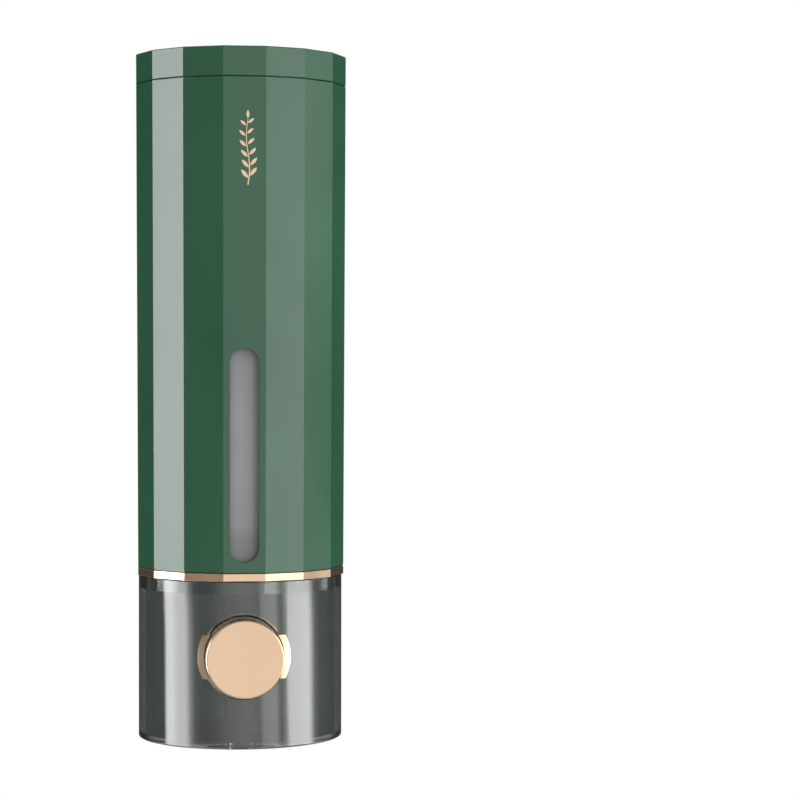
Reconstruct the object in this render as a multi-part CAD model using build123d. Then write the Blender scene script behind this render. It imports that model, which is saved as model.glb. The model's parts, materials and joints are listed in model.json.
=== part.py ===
from build123d import *
import os
from math import atan, cos, degrees, radians, sin, sqrt

# Wall mounted soap dispenser: a faceted housing around a liquid tank, a lift-off lid,
# and a smoked base that holds a push-button piston pump. It hangs on a wall bracket.
# Millimetres. +Z is up, the front faces -Y and the wall is the plane y = 0. The origin is
# the centre of the bracket's adhesive face. Every piece is drawn about the dispenser's own
# upright axis, with z = 0 at the underside of the base, and to_frame() then moves it.
# "front" distances are measured from that axis towards the user, so y = -front.

# ---- driving dimensions ---------------------------------------------------------------
SIDES = 16                   # facets of the housing
RADIUS = 34.0                # corner radius of the facets at the trim ring
TOP_GROWTH = 1.0191          # corner radius at the lid's top, over the one at the ring
BACK = 25.5                  # flat back, behind the axis
WALL = 2.0                   # housing wall

BASE_HEIGHT = 53.1
RING_TOP = 55.7
SEAM = 212.2                 # underside of the lid's rim
TOTAL_HEIGHT = 221.6
SEAM_GAP = 0.3               # shadow gap between the lid and the housing
GROOVE = 0.3                 # shadow groove between the housing and the trim ring
GROOVE_DEPTH = 0.8

BASE_RADIUS = 33.17
BASE_WALL = 2.2
BASE_FLOOR = 1.9
SOCKET_Z = 49.0              # ledge in the base that the deck's neck stands on
SOCKET_RADIUS = 32.45
NECK_RADIUS = 32.3           # corner radius of the deck's faceted neck
COLLAR_RADIUS = 31.9         # corner radius of the deck inside the ring and the housing
DECK_BACK = 20.5
DECK_PLATE_Z = 55.2
DECK_TOP = 58.2

WINDOW_WIDTH = 9.3
WINDOW_LOW = 59.1
WINDOW_HIGH = 126.7

EDGE = 0.3                   # broken outer edges
FINE_EDGE = 0.2              # broken edges along the seams

TANK_RADIUS = 30.7
TANK_WALL = 1.8
TANK_BACK = 20.3
TANK_FLOOR = 2.0
TANK_TOP = 211.0
HOUSING_INNER_BACK = 20.6

BUTTON_Z = 29.2              # height of the button's and the pump's axis
BUTTON_RADIUS = 12.4
BUTTON_PRESSED = 33.6        # front distance of the button's face when pushed in
BUTTON_DEPTH = 10.6
BUTTON_TRAVEL = 6.0
BEZEL_INNER = 12.75
BEZEL_OUTER = 13.3
BEZEL_FACE = 25.0            # the sleeve's front end, sunk into the base
BEZEL_LAP = 2.0              # length of the sleeve around the pump's flange
EAR_RADIUS = 14.75
EAR_HALF_HEIGHT = 6.9
EAR_THICKNESS = 0.7
EAR_GAP = 0.03               # between an ear and the base's wall
CAP_FRONT_WALL = 1.8
CAP_SIDE_WALL = 1.2
CAP_BOSS_RADIUS = 4.2        # boss inside the button that takes the rod's end
CAP_BOSS_LENGTH = 5.3
CAP_BOSS_GAP = 1.3           # rod's end to the inside of the button's face

BORE = 8.0                   # pump bore radius
BARREL_RADIUS = 10.4
PUMP_FRONT = 22.0            # front distance of the barrel's open end
PUMP_REAR = -2.6
BORE_END = 1.5
PORT_FRONT = 5.0             # front distance of the valves' and the nozzle's upright axis
COLUMN_RADIUS = 6.5
VALVE_RADIUS = 3.4           # ball chamber
SEAT_HOLE = 1.6
BALL_RADIUS = 2.4
BALL_GAP = 0.05
INLET_SEAT_Z = 50.0
INLET_SPRING_Z = 40.5
OUTLET_SEAT_Z = 18.6
OUTLET_SPRING_Z = 9.5
COLUMN_FOOT = 13.5
ROD_RADIUS = 2.5
NOZZLE_RADIUS = 5.7
NOZZLE_SKIRT = 7.8
NOZZLE_SKIRT_TOP = 5.1
NOZZLE_BORE = 1.9
TIP_WALL = 1.7               # wall of the short tip that goes through the base's floor
TIP_LOW = 0.2
FLARE_HEIGHT = 1.2
COUNTERBORE = 2.8            # pocket for the outlet valve's spring
SPRING_RADIUS = 1.9
SPRING_BORE = 1.3
SPRING_TO_BALL = 2.1         # spring's end to the ball's centre
FLANGE_THICKNESS = 2.2

BRACKET_Z = 140.0            # centre of the bracket above the base's underside
BRACKET_WIDTH = 38.0
BRACKET_HEIGHT = 84.0
BRACKET_PLATE = 2.5
PAD_THICKNESS = 0.8
BRACKET_GAP = 0.3            # between the bracket's plate and the housing's back
SCREW_SPACING = 64.0
SCREW_HOLE = 2.1
SINK_DEPTH = 1.2
TONGUE_HEIGHT = 24.0
TONGUE_NARROW = 20.0
TONGUE_WIDE = 24.0
TONGUE_DEPTH = 3.4
TONGUE_TOP = 152.0
TONGUE_PLAY = 0.15
TONGUE_LEAD_IN = 0.5         # broken edge at the tongue's top
BRACKET_CORNER = 6.0
BRACKET_EDGE = 0.6
RELIEF_INSET = 3.0           # shallow slots along the plate's back, from its long edges
RELIEF_END = 8.0             # and from its short edges
RELIEF_WIDTH = 1.2
RELIEF_SKIN = 1.6            # plate left in front of a slot
PAD_MARGIN = 5.0             # pad to the plate's long edges
PAD_SCREW_MARGIN = 6.0       # pad to the wall screws
PAD_CORNER = 3.0
LIFT = 25.0                  # the dispenser lifts this far to come off the tongue
SLOT_PLAY = 0.3              # play around the tongue in the housing's slot

SCREW_PILOT = 1.3            # hole that a small screw cuts its thread in
PLAY = 0.05                  # play of a close fit

# ---- worked out from the above --------------------------------------------------------
HALF_SIDE = 180.0 / SIDES
CORNER = cos(radians(HALF_SIDE))          # a facet's distance over its corner radius
GROWTH_PER_MM = RADIUS * (TOP_GROWTH - 1.0) / (TOTAL_HEIGHT - RING_TOP)
TAPER = degrees(atan(GROWTH_PER_MM * CORNER))
WALL_PLANE = BACK + BRACKET_GAP + BRACKET_PLATE + PAD_THICKNESS
BALL_DROP = sqrt(BALL_RADIUS**2 - SEAT_HOLE**2) + BALL_GAP   # seat edge to ball centre
BUTTON_FACE = BUTTON_PRESSED + BUTTON_TRAVEL
CAP_INSIDE = BUTTON_FACE - CAP_FRONT_WALL
TIP_RADIUS = NOZZLE_BORE + TIP_WALL
FAR = 200.0


# ---- shape helpers --------------------------------------------------------------------
def to_frame(shape):
    """From the dispenser's own axis and underside to the bracket's frame."""
    return Pos(0, -WALL_PLANE, -BRACKET_Z) * shape


def in_front_of(shape, back):
    """The part of a shape that lies in front of the plane y = back."""
    keep = Pos(0, back - FAR, 0) * Box(2 * FAR, 2 * FAR, 4 * FAR)
    return shape & keep


def facets(inset, low, high, back):
    """Tapered many-sided prism of the housing, its facets moved in by inset."""
    corner = RADIUS + GROWTH_PER_MM * (low - RING_TOP) - inset / CORNER
    outline = Pos(0, 0, low) * RegularPolygon(corner, SIDES, rotation=HALF_SIDE)
    return in_front_of(extrude(outline, high - low, taper=-TAPER), back)


def straight_facets(corner, low, high, back):
    """Many-sided prism with upright sides."""
    outline = Pos(0, 0, low) * RegularPolygon(corner, SIDES, rotation=HALF_SIDE)
    return in_front_of(extrude(outline, high - low), back)


def round_prism(radius, low, high, back):
    """Upright cylinder about the axis, with a flat back."""
    return in_front_of(upright(radius, low, high), back)


def upright(radius, low, high, front=0.0):
    """Cylinder along Z between two heights."""
    return Pos(0, -front, (low + high) / 2) * Cylinder(radius, high - low)


def level(radius, inner, outer, x=0.0, z=BUTTON_Z):
    """Cylinder along Y between two front distances."""
    middle = (inner + outer) / 2
    return Pos(x, -middle, z) * Rot(90, 0, 0) * Cylinder(radius, outer - inner)


def block(x0, x1, y0, y1, z0, z1):
    return Pos((x0 + x1) / 2, (y0 + y1) / 2, (z0 + z1) / 2) * Box(x1 - x0, y1 - y0, z1 - z0)


def screw(head_radius, head_height, shank_radius, length):
    """Pan head screw along Z: head above z = 0, shank below, with a cross recess."""
    head = Pos(0, 0, head_height / 2) * Cylinder(head_radius, head_height)
    head = fillet(head.edges().group_by(Axis.Z)[-1], head_height * 0.4)
    shank = Pos(0, 0, -length / 2) * Cylinder(shank_radius, length)
    shank = chamfer(shank.edges().group_by(Axis.Z)[0], shank_radius * 0.4)
    recess = Box(head_radius * 1.1, head_radius * 0.25, head_height)
    recess += Box(head_radius * 0.25, head_radius * 1.1, head_height)
    return head + shank - Pos(0, 0, head_height) * recess


# ---- wall bracket ---------------------------------------------------------------------
def tongue_section(narrow, wide, mouth, depth):
    """Dovetail outline seen from above: narrow at y = mouth, wide at depth in front of it."""
    points = [
        (-narrow / 2, mouth),
        (-wide / 2, mouth - depth),
        (wide / 2, mouth - depth),
        (narrow / 2, mouth),
    ]
    return Polygon(*points, align=None)


def wall_bracket():
    plate_face = BACK + BRACKET_GAP
    outline = RectangleRounded(BRACKET_WIDTH, BRACKET_HEIGHT, BRACKET_CORNER)
    plane = Plane(origin=(0, plane_y(PAD_THICKNESS), BRACKET_Z), x_dir=(1, 0, 0), z_dir=(0, -1, 0))
    plate = extrude(plane * outline, BRACKET_PLATE)
    plate = chamfer(plate.edges().group_by(Axis.Y)[0], BRACKET_EDGE)
    section = Pos(0, 0, TONGUE_TOP - TONGUE_HEIGHT)
    section = section * tongue_section(TONGUE_NARROW, TONGUE_WIDE, plate_face, TONGUE_DEPTH)
    tongue = extrude(section, TONGUE_HEIGHT)
    bracket = plate + chamfer(tongue.edges().group_by(Axis.Z)[-1], TONGUE_LEAD_IN)
    for side in (-1, 1):
        z = BRACKET_Z + side * SCREW_SPACING / 2
        bracket -= level(SCREW_HOLE, -WALL_PLANE, 0, z=z)
        sink = Cone(SCREW_HOLE, 2 * SCREW_HOLE, SINK_DEPTH)
        bracket -= Pos(0, plate_face + SINK_DEPTH / 2, z) * Rot(90, 0, 0) * sink
    reach = BRACKET_HEIGHT / 2 - RELIEF_END
    half = RELIEF_WIDTH / 2
    for side in (-1, 1):
        x = side * (BRACKET_WIDTH / 2 - RELIEF_INSET)
        front = plate_face + RELIEF_SKIN
        bracket -= block(x - half, x + half, front, WALL_PLANE, BRACKET_Z - reach, BRACKET_Z + reach)
    return bracket


def plane_y(distance):
    """The y, before to_frame(), of a plane that far in front of the wall."""
    return WALL_PLANE - distance


def adhesive_pad():
    width = BRACKET_WIDTH - 2 * PAD_MARGIN
    outline = RectangleRounded(width, SCREW_SPACING - 2 * PAD_SCREW_MARGIN, PAD_CORNER)
    plane = Plane(origin=(0, WALL_PLANE, BRACKET_Z), x_dir=(1, 0, 0), z_dir=(0, -1, 0))
    return extrude(plane * outline, PAD_THICKNESS)


# ---- housing, tank and lid --------------------------------------------------------------
HOUSING_SCREW_Z = 192.0
HOUSING_SCREW_X = 10.0
HOUSING_SCREW_SINK = 2.2     # depth of the pocket around a screw's head
HOUSING_SCREW_POCKET = 3.2
HOUSING_SCREW_HOLE = 1.6
BOSS_RADIUS = 3.6            # tank's bosses for these screws
BOSS_LENGTH = 3.2
BOSS_HOLE = 1.5
BOSS_HOLE_DEPTH = 2.4
SPIGOT_RADIUS = 4.6          # tank's outlet, held in the seal
SPIGOT_BORE = 3.0
SEAL_RADIUS = 6.0


def housing_shell():
    top = SEAM - SEAM_GAP
    shell = facets(GROOVE_DEPTH, RING_TOP, RING_TOP + GROOVE, BACK - GROOVE_DEPTH)
    shell += facets(0, RING_TOP + GROOVE, top, BACK)
    shell -= facets(WALL, RING_TOP, top, HOUSING_INNER_BACK)
    window = Rot(0, 0, 90) * SlotOverall(WINDOW_HIGH - WINDOW_LOW, WINDOW_WIDTH)
    window = Pos(0, (WINDOW_HIGH + WINDOW_LOW) / 2) * window
    shell -= extrude(Plane.XZ.offset(TANK_BACK) * window, RADIUS)
    depth = TONGUE_DEPTH - BRACKET_GAP + SLOT_PLAY
    slope = (TONGUE_WIDE - TONGUE_NARROW) / TONGUE_DEPTH
    mouth = TONGUE_NARROW + BRACKET_GAP * slope + 2 * TONGUE_PLAY
    section = tongue_section(mouth, mouth + depth * slope, BACK, depth)
    bottom = TONGUE_TOP - TONGUE_HEIGHT
    shell -= extrude(Pos(0, 0, bottom) * section, TONGUE_HEIGHT)
    half = (mouth + depth * slope) / 2 + SLOT_PLAY
    shell -= block(-half, half, BACK - depth, BACK, bottom - LIFT - SLOT_PLAY, bottom)
    pocket_end = -BACK + HOUSING_SCREW_SINK
    for x in (-HOUSING_SCREW_X, HOUSING_SCREW_X):
        shell -= level(HOUSING_SCREW_POCKET, -BACK, pocket_end, x=x, z=HOUSING_SCREW_Z)
        shell -= level(HOUSING_SCREW_HOLE, -BACK, -HOUSING_INNER_BACK, x=x, z=HOUSING_SCREW_Z)
    return shell


def housing_screws():
    group = []
    for x in (-HOUSING_SCREW_X, HOUSING_SCREW_X):
        place = Pos(x, BACK - HOUSING_SCREW_SINK, HOUSING_SCREW_Z) * Rot(-90, 0, 0)
        group.append(place * screw(head_radius=2.9, head_height=1.9, shank_radius=1.45, length=7.0))
    return Compound(group)


def liquid_tank():
    outer = round_prism(TANK_RADIUS, DECK_TOP, TANK_TOP, TANK_BACK)
    inner_back = TANK_BACK - TANK_WALL
    inner = round_prism(TANK_RADIUS - TANK_WALL, DECK_TOP + TANK_FLOOR, TANK_TOP, inner_back)
    tank = outer - inner
    for x in (-HOUSING_SCREW_X, HOUSING_SCREW_X):
        tank += level(BOSS_RADIUS, -inner_back, BOSS_LENGTH - inner_back, x=x, z=HOUSING_SCREW_Z)
        hole_end = BOSS_HOLE_DEPTH - inner_back
        tank -= level(BOSS_HOLE, -TANK_BACK, hole_end, x=x, z=HOUSING_SCREW_Z)
    tank += upright(SPIGOT_RADIUS, DECK_PLATE_Z, DECK_TOP, PORT_FRONT)
    tank -= upright(SPIGOT_BORE, DECK_PLATE_Z, DECK_TOP + TANK_FLOOR, PORT_FRONT)
    return tank


def tank_seal():
    ring = upright(SEAL_RADIUS, DECK_PLATE_Z, DECK_TOP, PORT_FRONT)
    return ring - upright(SPIGOT_RADIUS + PLAY, DECK_PLATE_Z, DECK_TOP, PORT_FRONT)


PLUG_RADIUS = 28.2
PLUG_LOW = 200.0
PLUG_PLATE = 213.8
PLUG_BACK = TANK_BACK - TANK_WALL - 0.7
PLUG_WALL = 2.0
PLUG_RIM = 0.2               # the plug's collar reaches this far above the seam
PLUG_CEILING = 0.8           # hollow of the plug above the tank's rim
SPACER_RADIUS = 20.0         # upright ring between the plug and the lid's top
SPACER_WALL = 2.0
GASKET_LOW = 204.0
GASKET_HEIGHT = 3.0
GASKET_GROOVE = 0.8
GASKET_LIP = 0.6
LID_TOP_WALL = 2.2


def lid_cover():
    cover = facets(0, SEAM, TOTAL_HEIGHT, BACK)
    cover = chamfer(cover.edges().group_by(Axis.Z)[-1], EDGE)
    cover = chamfer(cover.edges().group_by(Axis.Z)[0], FINE_EDGE)
    return cover - facets(WALL, SEAM, TOTAL_HEIGHT - LID_TOP_WALL, BACK - WALL)


def lid_plug():
    rim = SEAM + PLUG_RIM
    hollow = PLUG_RADIUS - PLUG_WALL
    plug = round_prism(TANK_RADIUS, TANK_TOP, rim, TANK_BACK)
    plug += facets(WALL + PLAY, rim, PLUG_PLATE, BACK - WALL - PLAY)
    plug += round_prism(PLUG_RADIUS, PLUG_LOW, TANK_TOP, PLUG_BACK)
    plug -= round_prism(hollow, PLUG_LOW, TANK_TOP + PLUG_CEILING, PLUG_BACK - PLUG_WALL)
    groove = round_prism(TANK_RADIUS, GASKET_LOW, GASKET_LOW + GASKET_HEIGHT, BACK)
    core_back = PLUG_BACK - GASKET_GROOVE
    core = PLUG_RADIUS - GASKET_GROOVE
    groove -= round_prism(core, GASKET_LOW, GASKET_LOW + GASKET_HEIGHT, core_back)
    plug -= groove
    spacer_top = TOTAL_HEIGHT - LID_TOP_WALL
    plug += upright(SPACER_RADIUS, PLUG_PLATE, spacer_top)
    return plug - upright(SPACER_RADIUS - SPACER_WALL, PLUG_PLATE, spacer_top)


def lid_gasket():
    high = GASKET_LOW + GASKET_HEIGHT
    ring = round_prism(PLUG_RADIUS + GASKET_LIP, GASKET_LOW, high, PLUG_BACK + GASKET_LIP)
    inner = PLUG_RADIUS - GASKET_GROOVE
    return ring - round_prism(inner, GASKET_LOW, high, PLUG_BACK - GASKET_GROOVE)


# ---- ring, deck and base ----------------------------------------------------------------
BASE_SCREW_X = 12.0
BASE_SCREW_Z = 50.6
BASE_SCREW_SINK = 2.0
BASE_SCREW_POCKET = 2.4
BASE_SCREW_HOLE = 1.4
BLOCK_HALF_WIDTH = 3.5       # deck's blocks that the base's screws bite into
BLOCK_DEPTH = 8.0
DECK_WALL = 2.0
LEDGE_HEIGHT = 4.0           # thick rim of the base under the deck's neck
PUMP_FLANGE_RADIUS = 11.4
PUMP_FLANGE_Z = 52.2
PUMP_SCREW_CIRCLE = 8.9
PUMP_SCREW_ANGLES = (90, 210, 330)
PUMP_SCREW_DEPTH = 2.4


def trim_ring():
    ring = straight_facets(RADIUS, BASE_HEIGHT, RING_TOP, BACK)
    ring = chamfer(ring.edges().group_by(Axis.Z)[-1] + ring.edges().group_by(Axis.Z)[0], FINE_EDGE)
    return ring - straight_facets(COLLAR_RADIUS + PLAY, BASE_HEIGHT, RING_TOP, DECK_BACK + PLAY)


def pump_screw_places():
    """x and y of the three screws around the pump's upright axis."""
    spots = []
    for angle in PUMP_SCREW_ANGLES:
        turn = radians(angle)
        across, along = PUMP_SCREW_CIRCLE * cos(turn), PUMP_SCREW_CIRCLE * sin(turn)
        spots.append((across, along - PORT_FRONT))
    return spots


def pump_deck():
    deck = straight_facets(NECK_RADIUS, SOCKET_Z, BASE_HEIGHT, DECK_BACK)
    deck += straight_facets(COLLAR_RADIUS, BASE_HEIGHT, DECK_TOP, DECK_BACK)
    deck -= straight_facets(
        COLLAR_RADIUS - DECK_WALL, SOCKET_Z, DECK_PLATE_Z, DECK_BACK - DECK_WALL
    )
    deck -= upright(SEAL_RADIUS, DECK_PLATE_Z, DECK_TOP, PORT_FRONT)
    front = DECK_BACK - BLOCK_DEPTH
    for x in (-BASE_SCREW_X, BASE_SCREW_X):
        left, right = x - BLOCK_HALF_WIDTH, x + BLOCK_HALF_WIDTH
        deck += block(left, right, front, DECK_BACK, SOCKET_Z, DECK_PLATE_Z)
        deck -= level(SCREW_PILOT, -DECK_BACK, -front - 1, x=x, z=BASE_SCREW_Z)
    for x, y in pump_screw_places():
        middle = DECK_PLATE_Z + PUMP_SCREW_DEPTH / 2
        deck -= Pos(x, y, middle) * Cylinder(SCREW_PILOT, PUMP_SCREW_DEPTH)
    return deck


def base_shell():
    tub = round_prism(BASE_RADIUS, 0, BASE_HEIGHT, BACK)
    tub = fillet(tub.edges().group_by(Axis.Z)[0], 2 * EDGE)
    tub = chamfer(tub.edges().group_by(Axis.Z)[-1], EDGE)
    inner = BASE_RADIUS - BASE_WALL
    ledge = SOCKET_Z - LEDGE_HEIGHT
    tub -= round_prism(inner, BASE_FLOOR, ledge, BACK - BASE_WALL)
    tub -= round_prism(inner, ledge, SOCKET_Z, DECK_BACK + PLAY)
    tub -= straight_facets(SOCKET_RADIUS, SOCKET_Z, BASE_HEIGHT, DECK_BACK + PLAY)
    tub -= level(BEZEL_OUTER + 3 * PLAY, BORE_END, FAR)
    tub -= upright(TIP_RADIUS + 4 * PLAY, 0, BASE_FLOOR, PORT_FRONT)
    for x in (-BASE_SCREW_X, BASE_SCREW_X):
        tub -= level(BASE_SCREW_POCKET, -BACK, -BACK + BASE_SCREW_SINK, x=x, z=BASE_SCREW_Z)
        tub -= level(BASE_SCREW_HOLE, -BACK, -DECK_BACK, x=x, z=BASE_SCREW_Z)
    return tub


def base_screws():
    group = []
    for x in (-BASE_SCREW_X, BASE_SCREW_X):
        place = Pos(x, BACK - BASE_SCREW_SINK, BASE_SCREW_Z) * Rot(-90, 0, 0)
        group.append(place * screw(head_radius=2.2, head_height=1.7, shank_radius=1.25, length=9.0))
    return Compound(group)


# ---- button and bezel -------------------------------------------------------------------
def button_bezel():
    """Sleeve around the button, with an ear on each side that hugs the base."""
    sleeve = level(BEZEL_OUTER, PUMP_FRONT - BEZEL_LAP, BEZEL_FACE)
    low, high = BUTTON_Z - EAR_HALF_HEIGHT, BUTTON_Z + EAR_HALF_HEIGHT
    outside = upright(BASE_RADIUS + EAR_THICKNESS, low, high)
    cheeks = outside & level(BEZEL_OUTER, PUMP_FRONT, FAR)
    ears = outside - upright(BASE_RADIUS + EAR_GAP, low, high)
    ears = ears & level(EAR_RADIUS, BEZEL_FACE, FAR)
    return sleeve + cheeks + ears - level(BEZEL_INNER, BORE_END, FAR)


def button_cap():
    cap = level(BUTTON_RADIUS, BUTTON_FACE - BUTTON_DEPTH, BUTTON_FACE)
    cap = fillet(cap.edges().group_by(Axis.Y)[0], 2 * EDGE)
    cap -= level(BUTTON_RADIUS - CAP_SIDE_WALL, BUTTON_FACE - BUTTON_DEPTH, CAP_INSIDE)
    cap += level(CAP_BOSS_RADIUS, CAP_INSIDE - CAP_BOSS_LENGTH, CAP_INSIDE)
    return cap - level(ROD_RADIUS, CAP_INSIDE - CAP_BOSS_LENGTH, CAP_INSIDE - CAP_BOSS_GAP)


# ---- pump -------------------------------------------------------------------------------
PISTON_FRONT = 20.7
PISTON_REAR = 13.7
PISTON_RADIUS = 7.7
GROOVE_RADIUS = 6.2
GROOVE_HALF = 1.5            # half the width of the piston's groove
GROOVE_MIDDLE = (PISTON_REAR + PISTON_FRONT) / 2
SEAL_EDGE = 0.6
HEAD_FACE = 24.5
HEAD_SPIGOT = 1.2            # the cylinder head reaches this far into the barrel
HEAD_GUIDE_RADIUS = 4.6
HEAD_GUIDE_LENGTH = 1.5
ROD_OVERHANG = 1.8           # rod behind the piston, with the clip on it
ROD_PLAY = 0.08
ROD_EDGE = 0.4
CLIP_RADIUS = 4.2
CLIP_THICKNESS = 1.0
CLIP_MOUTH = 1.6             # half the width of the clip's opening
RETURN_SPRING_RADIUS = 6.4
RETURN_SPRING_BORE = 5.2


def pump_body():
    body = level(BARREL_RADIUS, PUMP_REAR, PUMP_FRONT)
    body += level(BEZEL_INNER - PLAY, PUMP_FRONT - FLANGE_THICKNESS, PUMP_FRONT)
    body += upright(COLUMN_RADIUS, COLUMN_FOOT, DECK_PLATE_Z, PORT_FRONT)
    body += upright(PUMP_FLANGE_RADIUS, PUMP_FLANGE_Z, DECK_PLATE_Z, PORT_FRONT)
    body -= level(BORE, BORE_END, PUMP_FRONT)
    body -= upright(VALVE_RADIUS, INLET_SPRING_Z, DECK_PLATE_Z, PORT_FRONT)
    body -= upright(SEAT_HOLE, BUTTON_Z, INLET_SPRING_Z, PORT_FRONT)
    body -= upright(VALVE_RADIUS, COLUMN_FOOT, OUTLET_SEAT_Z, PORT_FRONT)
    body -= upright(SEAT_HOLE, OUTLET_SEAT_Z, BUTTON_Z, PORT_FRONT)
    for x, y in pump_screw_places():
        middle = (PUMP_FLANGE_Z + DECK_PLATE_Z) / 2
        body -= Pos(x, y, middle) * Cylinder(1.4, DECK_PLATE_Z - PUMP_FLANGE_Z)
    return body


def pump_screws():
    group = []
    for x, y in pump_screw_places():
        place = Pos(x, y, PUMP_FLANGE_Z) * Rot(180, 0, 0)
        group.append(place * screw(head_radius=2.2, head_height=1.6, shank_radius=1.25, length=5.2))
    return Compound(group)


def cylinder_head():
    head = level(BORE - PLAY, PUMP_FRONT - HEAD_SPIGOT, PUMP_FRONT)
    head += level(BARREL_RADIUS - 4 * PLAY, PUMP_FRONT, HEAD_FACE)
    head += level(HEAD_GUIDE_RADIUS, HEAD_FACE, HEAD_FACE + HEAD_GUIDE_LENGTH)
    return head - level(ROD_RADIUS + ROD_PLAY, PUMP_REAR, FAR)


def inlet_seat():
    seat = upright(VALVE_RADIUS, INLET_SEAT_Z, DECK_PLATE_Z, PORT_FRONT)
    return seat - upright(SEAT_HOLE, INLET_SEAT_Z, DECK_PLATE_Z, PORT_FRONT)


def valve_ball(seat_z):
    return Pos(0, -PORT_FRONT, seat_z - BALL_DROP) * Sphere(BALL_RADIUS)


def valve_spring(low, seat_z):
    """Outer shape of the small spring that holds a ball up against its seat."""
    high = seat_z - BALL_DROP - SPRING_TO_BALL
    outside = upright(SPRING_RADIUS, low, high, PORT_FRONT)
    return outside - upright(SPRING_BORE, low, high, PORT_FRONT)


def nozzle():
    tip = upright(TIP_RADIUS, TIP_LOW, BASE_FLOOR, PORT_FRONT)
    skirt = upright(NOZZLE_SKIRT, BASE_FLOOR, NOZZLE_SKIRT_TOP, PORT_FRONT)
    flare = Cone(NOZZLE_SKIRT, NOZZLE_RADIUS, FLARE_HEIGHT)
    flare = Pos(0, -PORT_FRONT, NOZZLE_SKIRT_TOP + FLARE_HEIGHT / 2) * flare
    tube = upright(NOZZLE_RADIUS, NOZZLE_SKIRT_TOP, COLUMN_FOOT, PORT_FRONT)
    spout = tip + skirt + flare + tube
    spout -= upright(NOZZLE_BORE, 0, COLUMN_FOOT, PORT_FRONT)
    return spout - upright(COUNTERBORE, OUTLET_SPRING_Z, COLUMN_FOOT, PORT_FRONT)


def push_rod():
    rod = level(ROD_RADIUS, PISTON_REAR - ROD_OVERHANG, CAP_INSIDE - CAP_BOSS_GAP)
    return chamfer(rod.edges().group_by(Axis.Y)[-1], ROD_EDGE)


def piston():
    disc = level(PISTON_RADIUS, PISTON_REAR, PISTON_FRONT)
    rear, front = GROOVE_MIDDLE - GROOVE_HALF, GROOVE_MIDDLE + GROOVE_HALF
    groove = level(BORE, rear, front) - level(GROOVE_RADIUS, rear, front)
    return disc - groove - level(ROD_RADIUS, PISTON_REAR, PISTON_FRONT)


def piston_seal():
    ring = level(BORE - PLAY, GROOVE_MIDDLE - GROOVE_HALF, GROOVE_MIDDLE + GROOVE_HALF)
    ring = fillet(ring.edges(), SEAL_EDGE)
    return ring - level(GROOVE_RADIUS, PISTON_REAR, PISTON_FRONT)


def rod_clip():
    rear = PISTON_REAR - CLIP_THICKNESS
    clip = level(CLIP_RADIUS, rear, PISTON_REAR) - level(ROD_RADIUS, rear, PISTON_REAR)
    mouth = block(-CLIP_MOUTH, CLIP_MOUTH, -PISTON_REAR, -rear, BUTTON_Z - BORE, BUTTON_Z - 1)
    return clip - mouth


def return_spring():
    """Outer shape of the coil spring between the cylinder head and the button."""
    outside = level(RETURN_SPRING_RADIUS, HEAD_FACE, CAP_INSIDE)
    return outside - level(RETURN_SPRING_BORE, HEAD_FACE, CAP_INSIDE)


# ---- write every node -------------------------------------------------------------------
NODES = {
    "wall_bracket": wall_bracket(),
    "adhesive_pad": adhesive_pad(),
    "housing_shell": housing_shell(),
    "housing_screws": housing_screws(),
    "liquid_tank": liquid_tank(),
    "tank_seal": tank_seal(),
    "lid_cover": lid_cover(),
    "lid_plug": lid_plug(),
    "lid_gasket": lid_gasket(),
    "trim_ring": trim_ring(),
    "pump_deck": pump_deck(),
    "base_shell": base_shell(),
    "base_screws": base_screws(),
    "button_bezel": button_bezel(),
    "button_cap": button_cap(),
    "pump_body": pump_body(),
    "pump_screws": pump_screws(),
    "cylinder_head": cylinder_head(),
    "inlet_seat": inlet_seat(),
    "inlet_ball": valve_ball(INLET_SEAT_Z),
    "inlet_spring": valve_spring(INLET_SPRING_Z, INLET_SEAT_Z),
    "outlet_ball": valve_ball(OUTLET_SEAT_Z),
    "outlet_spring": valve_spring(OUTLET_SPRING_Z, OUTLET_SEAT_Z),
    "nozzle": nozzle(),
    "push_rod": push_rod(),
    "piston": piston(),
    "piston_seal": piston_seal(),
    "rod_clip": rod_clip(),
    "return_spring": return_spring(),
}

os.makedirs("parts", exist_ok=True)
for name, shape in NODES.items():
    export_step(to_frame(shape), f"parts/{name}.step")
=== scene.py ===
import json
import math

import bpy
from mathutils import Matrix, Vector


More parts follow.
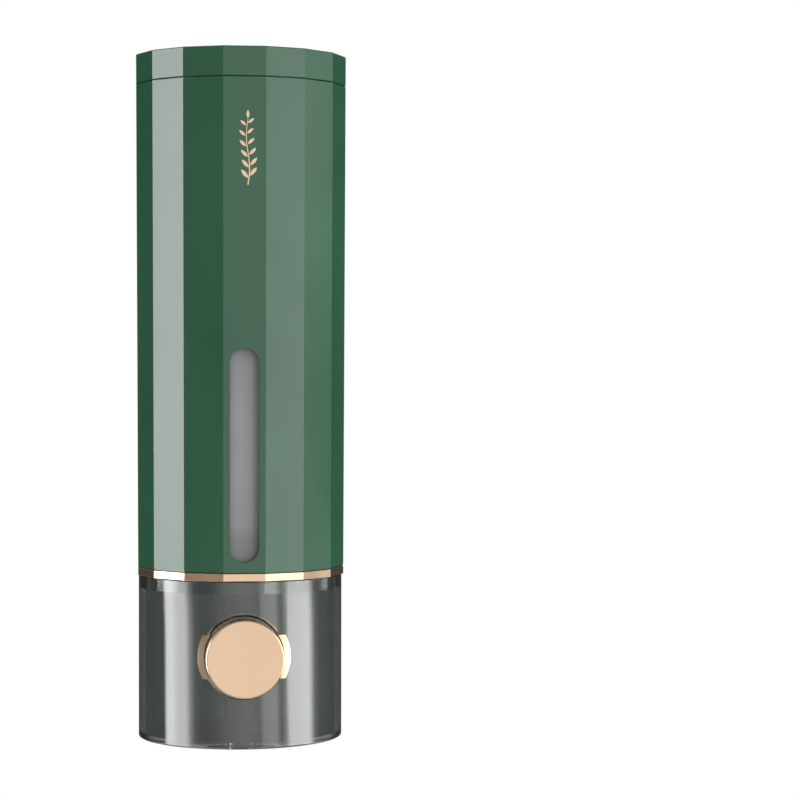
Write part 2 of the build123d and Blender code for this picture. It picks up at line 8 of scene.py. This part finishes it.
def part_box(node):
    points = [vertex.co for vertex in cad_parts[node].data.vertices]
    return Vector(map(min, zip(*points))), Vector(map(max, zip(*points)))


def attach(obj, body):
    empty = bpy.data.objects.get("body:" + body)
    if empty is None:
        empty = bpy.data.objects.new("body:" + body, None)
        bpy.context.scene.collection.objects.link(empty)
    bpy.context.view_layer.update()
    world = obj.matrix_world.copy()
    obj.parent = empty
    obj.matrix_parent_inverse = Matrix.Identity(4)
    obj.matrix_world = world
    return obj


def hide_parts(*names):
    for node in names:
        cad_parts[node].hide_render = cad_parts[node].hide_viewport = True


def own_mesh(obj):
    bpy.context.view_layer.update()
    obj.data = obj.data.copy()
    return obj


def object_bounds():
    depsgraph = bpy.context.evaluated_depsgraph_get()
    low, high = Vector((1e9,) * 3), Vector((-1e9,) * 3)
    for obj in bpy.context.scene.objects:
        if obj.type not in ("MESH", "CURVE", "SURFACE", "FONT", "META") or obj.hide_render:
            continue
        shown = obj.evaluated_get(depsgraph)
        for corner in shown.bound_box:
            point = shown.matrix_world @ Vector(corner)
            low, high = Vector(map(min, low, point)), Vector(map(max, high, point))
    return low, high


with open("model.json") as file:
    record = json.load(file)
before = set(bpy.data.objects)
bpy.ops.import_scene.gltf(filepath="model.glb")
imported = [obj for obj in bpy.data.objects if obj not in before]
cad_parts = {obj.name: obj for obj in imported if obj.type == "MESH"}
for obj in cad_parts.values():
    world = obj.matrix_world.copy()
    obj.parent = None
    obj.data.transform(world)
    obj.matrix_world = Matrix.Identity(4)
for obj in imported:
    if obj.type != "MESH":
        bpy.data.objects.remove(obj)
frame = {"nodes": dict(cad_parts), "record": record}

cad_low, cad_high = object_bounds()

# The looks of a wall mounted soap dispenser. Metres, in the CAD frame: +Z up, the front
# faces -Y, the wall is y = 0 and the origin is the centre of the bracket's wall face.

MM = 0.001

# ---- places taken from the frame --------------------------------------------------------
housing_low, housing_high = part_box("housing_shell")
ring_low, ring_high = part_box("trim_ring")
base_low, base_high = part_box("base_shell")
AXIS_Y = base_low.y + (base_high.x - base_low.x) / 2
BASE_Z = base_low.z


# ---- small node helpers -----------------------------------------------------------------
NOISE_LOW, NOISE_HIGH = 0.3, 0.7     # a noise texture's usual range
BUMP_STRENGTH = 0.5


def new_material(name):
    """A new node material and its parts: (material, nodes, links, Principled shader)."""
    material = bpy.data.materials.new(name)
    material.use_nodes = True
    nodes = material.node_tree.nodes
    return material, nodes, material.node_tree.links, nodes["Principled BSDF"]


def noise(nodes, links, scale, detail=3.0):
    """A noise texture in object space, scale in cells per metre."""
    place = nodes.new("ShaderNodeTexCoord")
    texture = nodes.new("ShaderNodeTexNoise")
    texture.inputs["Scale"].default_value = scale
    texture.inputs["Detail"].default_value = detail
    links.new(place.outputs["Object"], texture.inputs["Vector"])
    return texture


def spread(nodes, links, texture, low, high):
    """The texture's value mapped to low..high."""
    ranged = nodes.new("ShaderNodeMapRange")
    ranged.inputs["From Min"].default_value = NOISE_LOW
    ranged.inputs["From Max"].default_value = NOISE_HIGH
    ranged.inputs["To Min"].default_value = low
    ranged.inputs["To Max"].default_value = high
    links.new(texture.outputs["Fac"], ranged.inputs["Value"])
    return ranged.outputs["Result"]


def tint(nodes, links, texture, dark, light):
    """Two colours mixed by the texture's value."""
    ramp = nodes.new("ShaderNodeValToRGB")
    first, last = ramp.color_ramp.elements
    first.position, first.color = NOISE_LOW, (*dark, 1)
    last.position, last.color = NOISE_HIGH, (*light, 1)
    links.new(texture.outputs["Fac"], ramp.inputs["Fac"])
    return ramp.outputs["Color"]


def bump(nodes, links, shader, texture, depth):
    """Relief of that depth, in metres, from a texture."""
    relief = nodes.new("ShaderNodeBump")
    relief.inputs["Strength"].default_value = BUMP_STRENGTH
    relief.inputs["Distance"].default_value = depth
    links.new(texture.outputs["Fac"], relief.inputs["Height"])
    links.new(relief.outputs["Normal"], shader.inputs["Normal"])


def soft_step(nodes, links, value, start, end, first=0.0, last=1.0):
    """A socket that goes smoothly from first to last while the value goes from start to end."""
    step = nodes.new("ShaderNodeMapRange")
    step.interpolation_type = "SMOOTHSTEP"
    step.inputs["From Min"].default_value = start
    step.inputs["From Max"].default_value = end
    step.inputs["To Min"].default_value = first
    step.inputs["To Max"].default_value = last
    links.new(value, step.inputs["Value"])
    return step.outputs["Result"]


def calculate(nodes, links, operation, *values):
    """One Math node on sockets or numbers."""
    node = nodes.new("ShaderNodeMath")
    node.operation = operation
    for slot, value in enumerate(values):
        if isinstance(value, (int, float)):
            node.inputs[slot].default_value = value
        else:
            links.new(value, node.inputs[slot])
    return node.outputs[0]


def surface(name, dark, light, rough, colour_scale, grain_scale, grain_depth, **sockets):
    """A moulded or plated surface: colour drift, uneven gloss and fine relief."""
    material, nodes, links, shader = new_material(name)
    drift = noise(nodes, links, colour_scale)
    grain = noise(nodes, links, grain_scale, detail=2.0)
    links.new(tint(nodes, links, drift, dark, light), shader.inputs["Base Color"])
    links.new(spread(nodes, links, drift, *rough), shader.inputs["Roughness"])
    bump(nodes, links, shader, grain, grain_depth)
    for socket, value in sockets.items():
        shader.inputs[socket.replace("_", " ")].default_value = value
    return material


# ---- materials --------------------------------------------------------------------------
TANK_TONE_LEVEL = 68.6 * MM       # above the base's underside: the tank's colour is darker below this height
TANK_TONE_EDGE = 3.0 * MM
TANK_FOOT_TONE = 0.74            # colour of the tank's foot, over the rest of the tank
EDGE_FROM = 0.48             # Layer Weight's facing, 0 head on and 1 edge on
EDGE_FULLY = 0.68
EDGE_SHADE = 0.2


def scale_base_colour(nodes, links, factor):
    """Multiplies what already feeds the shader's base colour."""
    shader = nodes["Principled BSDF"]
    scaled = nodes.new("ShaderNodeVectorMath")
    scaled.operation = "SCALE"
    links.new(shader.inputs["Base Color"].links[0].from_socket, scaled.inputs[0])
    links.new(factor, scaled.inputs["Scale"])
    links.new(scaled.outputs[0], shader.inputs["Base Color"])


def darken_tank_foot(material):
    """The frosted wall's colour is darker below a set height, towards the bottom of the tank."""
    nodes, links = material.node_tree.nodes, material.node_tree.links
    place = nodes.new("ShaderNodeTexCoord")
    split = nodes.new("ShaderNodeSeparateXYZ")
    links.new(place.outputs["Object"], split.inputs[0])
    level = BASE_Z + TANK_TONE_LEVEL
    low, high = level - TANK_TONE_EDGE, level + TANK_TONE_EDGE
    factor = soft_step(nodes, links, split.outputs["Z"], low, high, TANK_FOOT_TONE, 1.0)
    scale_base_colour(nodes, links, factor)


def deepen_edges(material):
    """Smoked plastic is darker edge on, where light goes a longer way through the wall."""
    nodes, links = material.node_tree.nodes, material.node_tree.links
    angle = nodes.new("ShaderNodeLayerWeight")
    facing = angle.outputs["Facing"]
    factor = soft_step(nodes, links, facing, EDGE_FROM, EDGE_FULLY, 1.0, EDGE_SHADE)
    scale_base_colour(nodes, links, factor)


def make_materials():
    """The record's material slots and their looks."""
    green = surface(
        "green_paint", (0.0085, 0.047, 0.0225), (0.0105, 0.055, 0.027), (0.2, 0.26),
        colour_scale=18, grain_scale=1400, grain_depth=0.006 * MM,
    )
    smoked = surface(
        "smoked_plastic", (0.17, 0.195, 0.18), (0.20, 0.225, 0.21), (0.03, 0.05),
        colour_scale=25, grain_scale=200, grain_depth=0.0004 * MM,
        Transmission_Weight=0.9, IOR=1.58,
    )
    deepen_edges(smoked)
    neck = surface(
        "metallised_plastic", (0.74, 0.75, 0.75), (0.80, 0.81, 0.81), (0.08, 0.12),
        colour_scale=40, grain_scale=700, grain_depth=0.001 * MM,
        Metallic=1.0,
    )
    frosted = surface(
        "frosted_tank", (0.195, 0.195, 0.20), (0.225, 0.225, 0.23), (0.4, 0.48),
        colour_scale=30, grain_scale=2200, grain_depth=0.01 * MM,
    )
    darken_tank_foot(frosted)
    grey = surface(
        "grey_plastic", (0.40, 0.40, 0.41), (0.46, 0.46, 0.47), (0.16, 0.24),
        colour_scale=60, grain_scale=2500, grain_depth=0.012 * MM, IOR=1.8,
    )
    gold = surface(
        "rose_gold_plating", (0.535, 0.375, 0.25), (0.57, 0.40, 0.27), (0.2, 0.25),
        colour_scale=45, grain_scale=900, grain_depth=0.001 * MM,
        Metallic=1.0, Coat_Weight=0.4, Coat_IOR=1.5,
    )
    steel = surface(
        "plain_steel", (0.50, 0.50, 0.51), (0.62, 0.62, 0.63), (0.22, 0.34),
        colour_scale=300, grain_scale=3000, grain_depth=0.004 * MM,
        Metallic=1.0,
    )
    rubber = surface(
        "soft_silicone", (0.30, 0.30, 0.29), (0.36, 0.36, 0.35), (0.55, 0.65),
        colour_scale=120, grain_scale=3000, grain_depth=0.01 * MM,
    )
    bracket = surface(
        "bracket_plastic", (0.38, 0.38, 0.37), (0.43, 0.43, 0.42), (0.35, 0.45),
        colour_scale=40, grain_scale=2600, grain_depth=0.012 * MM,
    )
    foam = surface(
        "foam_tape", (0.50, 0.50, 0.47), (0.70, 0.70, 0.67), (0.8, 0.9),
        colour_scale=900, grain_scale=1800, grain_depth=0.12 * MM,
    )
    return {
        "green_gloss": green, "smoked_clear": smoked, "polished_grey": neck,
        "frosted_grey": frosted, "grey_plastic": grey, "rose_gold": gold, "screw_steel": steel,
        "silicone": rubber, "bracket_plastic": bracket, "foam_tape": foam,
    }


def dress(materials):
    """Each CAD node gets the material of its slot in the record."""
    for part in frame["record"]["subparts"]:
        node = frame["nodes"][part["node"]]
        node.data.materials.clear()
        node.data.materials.append(materials[part["material_slot"]])


# ---- coil springs -----------------------------------------------------------------------
# Name, the CAD spring it stands for, the joint that squeezes it, its wire and that travel.
SPRINGS = [
    ("return_coil", "return_spring", "button_press", 0.9 * MM, 6.0 * MM),
    ("inlet_coil", "inlet_spring", "inlet_valve_open", 0.35 * MM, 1.2 * MM),
    ("outlet_coil", "outlet_spring", "outlet_valve_open", 0.35 * MM, 1.2 * MM),
]
SPRING_TURNS = 6.5
CLOSED_PITCH = 1.04          # of the wire, in the closed turns at both ends
WIRE_SIDES = 10
TURN_STEPS = 36


def coil_points(radius, wire, length):
    """Points of a coil along +Z from 0 to length, with closed turns at both ends."""
    closed = wire * CLOSED_PITCH
    low, high = wire / 2, length - wire / 2
    points = []
    for i in range(int(SPRING_TURNS * TURN_STEPS) + 1):
        turn = i / TURN_STEPS
        if turn <= 1:
            z = low + closed * turn
        elif turn >= SPRING_TURNS - 1:
            z = high - closed * (SPRING_TURNS - turn)
        else:
            share = (turn - 1) / (SPRING_TURNS - 2)
            z = low + closed + share * (high - low - 2 * closed)
        angle = turn * 2 * math.pi
        points.append(Vector((radius * math.cos(angle), radius * math.sin(angle), z)))
    return points


def tube_mesh(name, points, wire):
    """A closed mesh tube of that wire diameter along the points."""
    sides = WIRE_SIDES
    verts, faces = [], []
    for i, point in enumerate(points):
        ahead = points[min(i + 1, len(points) - 1)] - points[max(i - 1, 0)]
        ahead.normalize()
        out = Vector((point.x, point.y, 0)).normalized()
        up = ahead.cross(out).normalized()
        for k in range(sides):
            turn = 2 * math.pi * k / sides
            verts.append(point + wire / 2 * (math.cos(turn) * out + math.sin(turn) * up))
    for i in range(len(points) - 1):
        for k in range(sides):
            a, b = i * sides + k, i * sides + (k + 1) % sides
            faces.append((a, b, b + sides, a + sides))
    faces.append(tuple(reversed(range(sides))))
    faces.append(tuple(range(len(verts) - sides, len(verts))))
    mesh = bpy.data.meshes.new(name)
    mesh.from_pydata(verts, [], faces)
    for face in mesh.polygons:
        face.use_smooth = len(face.vertices) == 4
    return mesh


def coil_spring(name, node, wire, material):
    """A real coil in place of a CAD spring's outer tube."""
    low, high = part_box(node)
    size = high - low
    middle = (low + high) / 2
    level = size.y > size.z
    length = size.y if level else size.z
    mesh = tube_mesh(name, coil_points((size.x - wire) / 2, wire, length), wire)
    if level:
        # the fixed end of a level spring is its rear end, so the coil runs towards the front
        mesh.transform(Matrix.Rotation(math.radians(90), 4, "X"))
        axis, anchor = (0, 1, 0), (middle.x, high.y, middle.z)
    else:
        axis, anchor = (0, 0, 1), (middle.x, middle.y, low.z)
    mesh.transform(Matrix.Translation(anchor))
    mesh.materials.append(material)
    spring = bpy.data.objects.new(name, mesh)
    bpy.context.scene.collection.objects.link(spring)
    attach(spring, "dispenser")
    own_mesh(spring)
    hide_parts(node)


# ---- printed sprig on the front facet -----------------------------------------------------
SPRIG_LOW = 178 * MM         # above the base's underside
SPRIG_HIGH = 201.5 * MM
SPRIG_X = 1.0 * MM
LEAF_LENGTH = 3.6 * MM
LEAF_WIDTH = 1.25 * MM
LEAF_POINT = 0.8             # below 1 the leaf is fuller towards both ends
LEAF_STEPS = 10
LEAF_PAIRS = 6
LOWEST_PAIR = 0.12           # share of the stem's height
PAIRS_SPREAD = 0.8
LEAF_SHRINK = 0.35           # how much smaller a leaf would be at the stem's top
LEAF_LEAN = 38               # degrees off the stem, at its foot
LEAF_LEAN_GROWTH = 14
LEAF_STAGGER = 0.35 * MM     # the right leaf of a pair sits higher by twice this
LEAF_ROOT = 0.6              # from the stem's middle, over the stem's width
TIP_SIZE = 0.75              # the leaf at the tip, over a full one
TIP_GAP = 0.15 * MM
TIP_ROOM = 0.8               # height left for it above the stem, over a full leaf's length
STEM_WIDTH = 0.42 * MM
STEM_TAPER = 0.55
STEM_SWAY = 0.5 * MM
STEM_STEPS = 24
STEM_HEIGHT = SPRIG_HIGH - SPRIG_LOW - LEAF_LENGTH * TIP_ROOM
PRINT_LIFT = 0.02 * MM
PRINT_THICKNESS = 0.05 * MM


def facet_y(z):
    """y of the front facet at height z: the facet leans out a little towards the top."""
    share = (z - ring_high.z) / (housing_high.z - ring_high.z)
    return ring_low.y + share * (housing_low.y - ring_low.y)


def leaf_outline(root, angle, size):
    """Pointed leaf from its root, in the facet's own x and z."""
    outline = []
    for side in (1, -1):
        steps = range(LEAF_STEPS) if side == 1 else range(LEAF_STEPS, 0, -1)
        for i in steps:
            share = i / LEAF_STEPS
            half = side * size * LEAF_WIDTH / 2 * math.sin(math.pi * share) ** LEAF_POINT
            along = share * size * LEAF_LENGTH
            x = root[0] + along * math.cos(angle) - half * math.sin(angle)
            z = root[1] + along * math.sin(angle) + half * math.cos(angle)
            outline.append((x, z))
    return outline


def stem_outline():
    """Slender stem with a slight double curve, tapering to its tip."""
    left, right = [], []
    for i in range(STEM_STEPS + 1):
        share = i / STEM_STEPS
        x, z = stem_place(share)
        half = STEM_WIDTH / 2 * (1 - STEM_TAPER * share)
        left.append((x - half, z))
        right.append((x + half, z))
    return left + right[::-1]


def stem_place(share):
    """x and z of the stem's middle, share of the way up."""
    x = SPRIG_X + STEM_SWAY * math.sin(2 * math.pi * share)
    return x, BASE_Z + SPRIG_LOW + share * STEM_HEIGHT


def leaf_outlines():
    """Pairs of leaves up the stem, and one at its tip."""
    leaves = []
    for i in range(LEAF_PAIRS):
        share = LOWEST_PAIR + PAIRS_SPREAD * i / (LEAF_PAIRS - 1)
        x, z = stem_place(share)
        lean = math.radians(LEAF_LEAN + LEAF_LEAN_GROWTH * share)
        for side in (-1, 1):
            root = (x + side * STEM_WIDTH * LEAF_ROOT, z + side * LEAF_STAGGER)
            leaves.append(leaf_outline(root, math.pi / 2 - side * lean, 1 - LEAF_SHRINK * share))
    x, z = stem_place(1.0)
    leaves.append(leaf_outline((x, z + TIP_GAP), math.pi / 2, TIP_SIZE))
    return leaves


def printed_sprig(material):
    """Generic leaf sprig, printed on the front facet: each outline is a thin closed slab."""
    verts, faces = [], []
    for outline in [stem_outline(), *leaf_outlines()]:
        start, count = len(verts), len(outline)
        for lift in (PRINT_LIFT, PRINT_LIFT + PRINT_THICKNESS):
            verts += [(x, facet_y(z) - lift, z) for x, z in outline]
        faces.append(tuple(range(start, start + count)))
        faces.append(tuple(range(start + 2 * count - 1, start + count - 1, -1)))
        for i in range(count):
            j = (i + 1) % count
            faces.append((start + i, start + count + i, start + count + j, start + j))
    mesh = bpy.data.meshes.new("printed_sprig")
    mesh.from_pydata(verts, [], faces)
    mesh.validate()
    mesh.materials.append(material)
    sprig = bpy.data.objects.new("printed_sprig", mesh)
    bpy.context.scene.collection.objects.link(sprig)
    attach(sprig, "dispenser")


# ---- studio -----------------------------------------------------------------------------
# Brightness of the studio by compass direction, in degrees from the front towards +X:
# a tall soft light on each side, a weaker glow in front and dark curtains behind.
STUDIO = [
    (-180, 0.08), (-99.5, 0.1), (-94.5, 10.8), (-87, 11.0), (-82, 9.8), (-78, 8.8), (-68, 8.6),
    (-61.5, 2.8), (-56, 0.7), (-50, 0.37), (-42, 0.34), (-33, 0.6), (-20, 1.3), (0, 1.9),
    (18, 1.5), (23, 3.3), (37, 3.8), (42, 1.5), (45, 1.2), (49, 2.9), (52, 6.0), (55, 9.8),
    (80, 9.8), (84, 6.4), (86, 4.0), (89.5, 1.22), (94.5, 0.45), (99, 0.12), (180, 0.08),
]
STUDIO_PEAK = 11.0
# Turn of the whole studio, in degrees, by the sine of the elevation: its lights lean.
STUDIO_LEAN = [(-0.2, -3.5), (-0.11, -1.0), (-0.085, 2.0), (0.1, -2.6), (0.2, -2.6)]
LEAN_SPAN = 5.0              # degrees either way that the lean table can hold
LEAN_REACH = 0.2
STRIP_HALF_HEIGHT = 17       # degrees above and below the horizon
STRIP_FADE = 14
CEILING = 0.75
FLOOR_GLOW = 0.3
WALL_SEEN_FROM = 0.45        # share of a ray towards +Y: the smoked base shows plain white there
WALL_SEEN_FULLY = 0.85


def table_lookup(nodes, links, value, table, start, end, scale):
    """A table of (position, level) as a color ramp: gives level / scale, from 0 to 1."""
    share = nodes.new("ShaderNodeMapRange")
    share.inputs["From Min"].default_value = start
    share.inputs["From Max"].default_value = end
    links.new(value, share.inputs["Value"])
    ramp = nodes.new("ShaderNodeValToRGB")
    elements = ramp.color_ramp.elements
    elements.remove(elements[-1])
    for i, (place, level) in enumerate(table):
        position = (place - start) / (end - start)
        stop = elements[0] if i == 0 else elements.new(position)
        stop.position = position
        stop.color = (*[level / scale] * 3, 1)
    links.new(share.outputs["Result"], ramp.inputs["Fac"])
    return ramp.outputs["Color"]


def studio_direction(nodes, links, ray):
    """Compass direction of a ray, in degrees, turned a little by its slope."""
    lean_table = [(slope, turn + LEAN_SPAN) for slope, turn in STUDIO_LEAN]
    reach, span = LEAN_REACH, 2 * LEAN_SPAN
    lean = table_lookup(nodes, links, ray["Z"], lean_table, -reach, reach, span)
    shift = calculate(nodes, links, "MULTIPLY_ADD", lean, math.radians(span), -math.radians(LEAN_SPAN))
    front = calculate(nodes, links, "MULTIPLY", ray["Y"], -1.0)
    compass = calculate(nodes, links, "ARCTAN2", ray["X"], front)
    turned = calculate(nodes, links, "ADD", compass, shift)
    return calculate(nodes, links, "DEGREES", turned)


def studio_strength(nodes, links, ray):
    """Brightness of the studio: the table around the horizon, plain above and below it."""
    direction = studio_direction(nodes, links, ray)
    level = table_lookup(nodes, links, direction, STUDIO, -180, 180, STUDIO_PEAK)
    around = calculate(nodes, links, "MULTIPLY", level, STUDIO_PEAK)
    is_above = calculate(nodes, links, "GREATER_THAN", ray["Z"], 0.0)
    plain = calculate(nodes, links, "MULTIPLY_ADD", is_above, CEILING - FLOOR_GLOW, FLOOR_GLOW)
    height = calculate(nodes, links, "ABSOLUTE", ray["Z"])
    strip_end = math.sin(math.radians(STRIP_HALF_HEIGHT))
    fade_end = math.sin(math.radians(STRIP_HALF_HEIGHT + STRIP_FADE))
    blend = nodes.new("ShaderNodeMix")
    blend.data_type = "FLOAT"
    links.new(soft_step(nodes, links, height, strip_end, fade_end), blend.inputs["Factor"])
    links.new(around, blend.inputs["A"])
    links.new(plain, blend.inputs["B"])
    return blend.outputs["Result"]


def make_world():
    """A studio that shows in reflections, with a plain white background behind the object."""
    world = bpy.data.worlds.new("studio")
    bpy.context.scene.world = world
    world.use_nodes = True
    nodes, links = world.node_tree.nodes, world.node_tree.links
    nodes.clear()
    place = nodes.new("ShaderNodeTexCoord")
    split = nodes.new("ShaderNodeSeparateXYZ")
    links.new(place.outputs["Generated"], split.inputs[0])
    ray = split.outputs
    studio = nodes.new("ShaderNodeBackground")
    links.new(studio_strength(nodes, links, ray), studio.inputs["Strength"])
    white = nodes.new("ShaderNodeBackground")
    white.inputs["Color"].default_value = (1, 1, 1, 1)
    kind = nodes.new("ShaderNodeLightPath").outputs
    wall = soft_step(nodes, links, ray["Y"], WALL_SEEN_FROM, WALL_SEEN_FULLY)
    through = calculate(nodes, links, "MULTIPLY", kind["Is Transmission Ray"], wall)
    plain = calculate(nodes, links, "MAXIMUM", kind["Is Camera Ray"], through)
    choice = nodes.new("ShaderNodeMixShader")
    links.new(plain, choice.inputs["Fac"])
    links.new(studio.outputs[0], choice.inputs[1])
    links.new(white.outputs[0], choice.inputs[2])
    out = nodes.new("ShaderNodeOutputWorld")
    links.new(choice.outputs[0], out.inputs["Surface"])


FLOOR_RADIUS = 1.3
FLOOR_Z = -1.0
FLOOR_SIDES = 64
SIDE_LIGHT_SIZE = 1.0
SIDE_LIGHT_POWER = 8.0
SIDE_LIGHT_PLACE = Vector((0.9, -0.8, 0.5))


def make_floor():
    """Plain pale floor, well below the dispenser."""
    mesh = bpy.data.meshes.new("studio_floor")
    rim = []
    for i in range(FLOOR_SIDES):
        turn = 2 * math.pi * i / FLOOR_SIDES
        rim.append((FLOOR_RADIUS * math.cos(turn), FLOOR_RADIUS * math.sin(turn), FLOOR_Z))
    mesh.from_pydata(rim, [], [tuple(range(FLOOR_SIDES))])
    floor = bpy.data.objects.new("studio_floor", mesh)
    bpy.context.scene.collection.objects.link(floor)
    material, nodes, links, shader = new_material("pale_floor")
    drift = noise(nodes, links, scale=2)
    pale = tint(nodes, links, drift, (0.86, 0.86, 0.86), (0.9, 0.9, 0.9))
    links.new(pale, shader.inputs["Base Color"])
    shader.inputs["Roughness"].default_value = 0.9
    mesh.materials.append(material)


def make_side_light():
    """A large weak light from the front right, for the surfaces that are not glossy."""
    light = bpy.data.lights.new("side_light", "AREA")
    light.shape = "DISK"
    light.size = SIDE_LIGHT_SIZE
    light.energy = SIDE_LIGHT_POWER
    lamp = bpy.data.objects.new("side_light", light)
    lamp.location = SIDE_LIGHT_PLACE
    lamp.rotation_mode = "QUATERNION"
    middle = (cad_low + cad_high) / 2
    lamp.rotation_quaternion = (middle - lamp.location).to_track_quat("-Z", "Y")
    lamp.visible_camera = False
    lamp.visible_glossy = False
    bpy.context.scene.collection.objects.link(lamp)


# ---- camera -----------------------------------------------------------------------------
CAMERA_FROM_AXIS = Vector((-32.2, -816.2, 125.9)) * MM   # from the axis at the base's underside
CAMERA_YAW = -0.1035         # radians, turned to the right of the wall's normal
CAMERA_PITCH = -0.0197
CAMERA_ROLL = -0.0016
LENS = 111.9                 # millimetres, as is the sensor
SENSOR_WIDTH = 36.0
NEAREST = 10 * MM


def make_camera():
    """Camera in front of the wall, a little to the left of the dispenser."""
    data = bpy.data.cameras.new("camera")
    data.lens = LENS
    data.sensor_width = SENSOR_WIDTH
    data.clip_start = NEAREST
    camera = bpy.data.objects.new("camera", data)
    camera.location = Vector((0, AXIS_Y, BASE_Z)) + CAMERA_FROM_AXIS
    camera.rotation_mode = "XYZ"
    camera.rotation_euler = (math.pi / 2 + CAMERA_PITCH, CAMERA_ROLL, CAMERA_YAW)
    bpy.context.scene.collection.objects.link(camera)
    bpy.context.scene.camera = camera


# ---- put it together ----------------------------------------------------------------------
bpy.context.scene.view_settings.view_transform = "Standard"
materials = make_materials()
dress(materials)
for name, node, joint, wire, travel in SPRINGS:
    coil_spring(name, node, wire, materials["screw_steel"])
printed_sprig(materials["rose_gold"])
make_world()
make_floor()
make_side_light()
make_camera()
